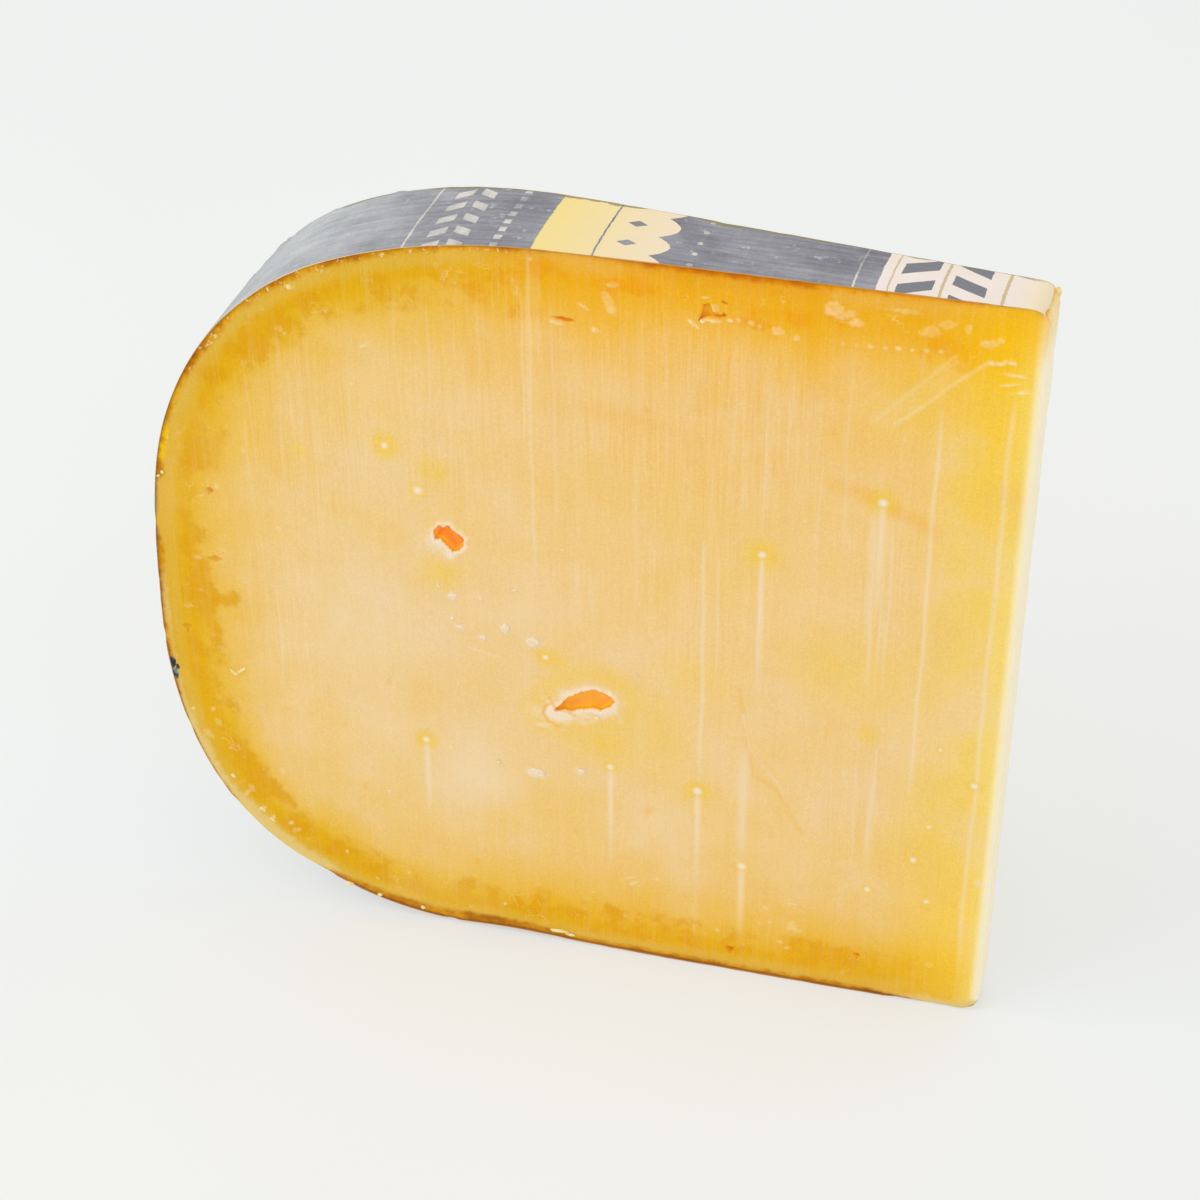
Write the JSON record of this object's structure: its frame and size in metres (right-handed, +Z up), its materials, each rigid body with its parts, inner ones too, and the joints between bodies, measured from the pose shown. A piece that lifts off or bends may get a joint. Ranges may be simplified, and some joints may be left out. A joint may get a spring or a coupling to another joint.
{
  "type": "cheese wedge",
  "caption": "Thin upright wedge cut from a tall round wheel of aged hard cheese, with a dark coat over its top, rim and underside.",
  "frame": {"origin": "under the middle of the wedge's box, on the surface it stands on", "axes": "+X from the coated rim to the cut tip, +Y from the shown cut face to the other one, +Z up, parallel to the wheel's axis"},
  "size_m": [0.113, 0.0198, 0.11],
  "materials": {
    "paste": "aged hard cheese, knife-cut: pale amber, darker and more orange under the rind, waxy and slightly translucent",
    "coat": "brushed-on charcoal cheese coat with a printed ring label in cream, charcoal and off-white, scuffed satin"
  },
  "bodies": {
    "root": {"paste": "paste", "coat": "coat"}
  },
  "joints": []
}
